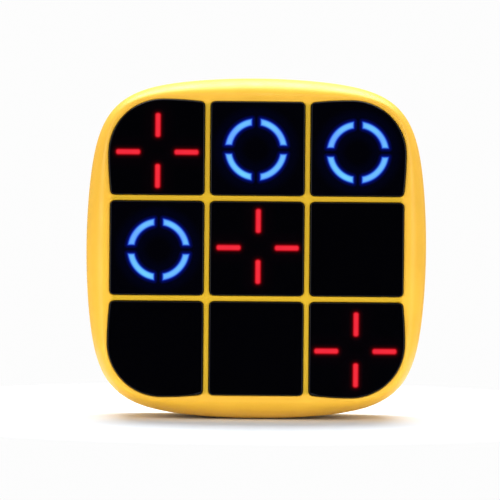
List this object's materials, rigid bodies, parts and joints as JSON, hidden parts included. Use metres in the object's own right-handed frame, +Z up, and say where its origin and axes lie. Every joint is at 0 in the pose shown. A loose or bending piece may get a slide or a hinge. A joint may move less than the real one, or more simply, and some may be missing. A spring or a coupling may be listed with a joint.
{
  "type": "electronic tic tac toe game",
  "caption": "Hand-held electronic tic tac toe game: rounded yellow housing with a grid of glossy black keys that light up as crosses or rings, and a screwed battery door at the back.",
  "frame": {"origin": "the middle of the lower edge that the game stands on, halfway through its depth", "axes": "-Y is the way the keys face, +Y the way the back faces, +X to the right as a player sees it, +Z up"},
  "size_m": [0.085, 0.028, 0.085],
  "materials": {
    "housing": "satin moulded ABS, opaque golden yellow",
    "key_cap": "polished smoked acrylic, almost black",
    "light_mask": "matt opaque black",
    "guide_red": "frosted light guide with its cross lit red",
    "guide_blue": "frosted light guide with its ring lit blue",
    "guide_unlit": "frosted light guide, unlit",
    "plunger": "cream moulded plastic",
    "board": "green solder mask over glass fibre",
    "switch_body": "black moulded plastic",
    "led_red": "clear resin",
    "led_blue": "clear resin",
    "chip": "matt epoxy",
    "board_part": "ceramic chip parts",
    "battery": "printed film sleeve over a metal can",
    "contact": "nickel plated",
    "speaker_frame": "black moulded plastic",
    "speaker_cone": "black film",
    "magnet": "plated",
    "screw": "zinc plated",
    "knob": "matt black moulded plastic",
    "wire": "red insulation"
  },
  "bodies": {
    "housing": {"front_shell": "housing", "rear_shell": "housing", "shell_screws": "screw", "circuit_board": "board", "switch_bodies": "switch_body", "red_leds": "led_red", "blue_leds": "led_blue", "controller_chip": "chip", "board_parts": "board_part", "battery_upper": "battery", "battery_middle": "battery", "battery_lower": "battery", "contact_springs": "contact", "contact_plates": "contact", "speaker_basket": "speaker_frame", "speaker_cone": "speaker_cone", "speaker_magnet": "magnet", "power_switch_body": "switch_body", "mode_switch_body": "switch_body", "wires": "wire"},
    "key_top_left": {"key_top_left": "key_cap", "light_mask_top_left": "light_mask", "light_guide_top_left": "guide_red", "switch_plunger_top_left": "plunger"},
    "key_top_centre": {"key_top_centre": "key_cap", "light_mask_top_centre": "light_mask", "light_guide_top_centre": "guide_blue", "switch_plunger_top_centre": "plunger"},
    "key_top_right": {"key_top_right": "key_cap", "light_mask_top_right": "light_mask", "light_guide_top_right": "guide_blue", "switch_plunger_top_right": "plunger"},
    "key_middle_left": {"key_middle_left": "key_cap", "light_mask_middle_left": "light_mask", "light_guide_middle_left": "guide_blue", "switch_plunger_middle_left": "plunger"},
    "key_middle_centre": {"key_middle_centre": "key_cap", "light_mask_middle_centre": "light_mask", "light_guide_middle_centre": "guide_red", "switch_plunger_middle_centre": "plunger"},
    "key_middle_right": {"key_middle_right": "key_cap", "light_mask_middle_right": "light_mask", "light_guide_middle_right": "guide_unlit", "switch_plunger_middle_right": "plunger"},
    "key_bottom_left": {"key_bottom_left": "key_cap", "light_mask_bottom_left": "light_mask", "light_guide_bottom_left": "guide_unlit", "switch_plunger_bottom_left": "plunger"},
    "key_bottom_centre": {"key_bottom_centre": "key_cap", "light_mask_bottom_centre": "light_mask", "light_guide_bottom_centre": "guide_unlit", "switch_plunger_bottom_centre": "plunger"},
    "key_bottom_right": {"key_bottom_right": "key_cap", "light_mask_bottom_right": "light_mask", "light_guide_bottom_right": "guide_red", "switch_plunger_bottom_right": "plunger"},
    "mode_button": {"mode_button": "knob"},
    "power_knob": {"power_knob": "knob"},
    "battery_door": {"battery_door": "housing", "door_screw": "screw"}
  },
  "joints": [
    {"name": "press_top_left", "type": "slide", "parent": "housing", "child": "key_top_left", "axis": [0, 1, 0], "range_m": [0, 0.001], "stiffness_N_per_m": 1200, "springref_m": -0.0005},
    {"name": "press_top_centre", "type": "slide", "parent": "housing", "child": "key_top_centre", "axis": [0, 1, 0], "range_m": [0, 0.001], "stiffness_N_per_m": 1200, "springref_m": -0.0005},
    {"name": "press_top_right", "type": "slide", "parent": "housing", "child": "key_top_right", "axis": [0, 1, 0], "range_m": [0, 0.001], "stiffness_N_per_m": 1200, "springref_m": -0.0005},
    {"name": "press_middle_left", "type": "slide", "parent": "housing", "child": "key_middle_left", "axis": [0, 1, 0], "range_m": [0, 0.001], "stiffness_N_per_m": 1200, "springref_m": -0.0005},
    {"name": "press_middle_centre", "type": "slide", "parent": "housing", "child": "key_middle_centre", "axis": [0, 1, 0], "range_m": [0, 0.001], "stiffness_N_per_m": 1200, "springref_m": -0.0005},
    {"name": "press_middle_right", "type": "slide", "parent": "housing", "child": "key_middle_right", "axis": [0, 1, 0], "range_m": [0, 0.001], "stiffness_N_per_m": 1200, "springref_m": -0.0005},
    {"name": "press_bottom_left", "type": "slide", "parent": "housing", "child": "key_bottom_left", "axis": [0, 1, 0], "range_m": [0, 0.001], "stiffness_N_per_m": 1200, "springref_m": -0.0005},
    {"name": "press_bottom_centre", "type": "slide", "parent": "housing", "child": "key_bottom_centre", "axis": [0, 1, 0], "range_m": [0, 0.001], "stiffness_N_per_m": 1200, "springref_m": -0.0005},
    {"name": "press_bottom_right", "type": "slide", "parent": "housing", "child": "key_bottom_right", "axis": [0, 1, 0], "range_m": [0, 0.001], "stiffness_N_per_m": 1200, "springref_m": -0.0005},
    {"name": "press_mode_button", "type": "slide", "parent": "housing", "child": "mode_button", "axis": [0, -1, 0], "range_m": [0, 0.0006], "stiffness_N_per_m": 1200, "springref_m": -0.0005},
    {"name": "slide_power_knob", "type": "slide", "parent": "housing", "child": "power_knob", "axis": [1, 0, 0], "range_m": [0, 0.003]},
    {"name": "lift_battery_door", "type": "slide", "parent": "housing", "child": "battery_door", "axis": [0, 1, 0], "range_m": [0, 0.015]}
  ]
}
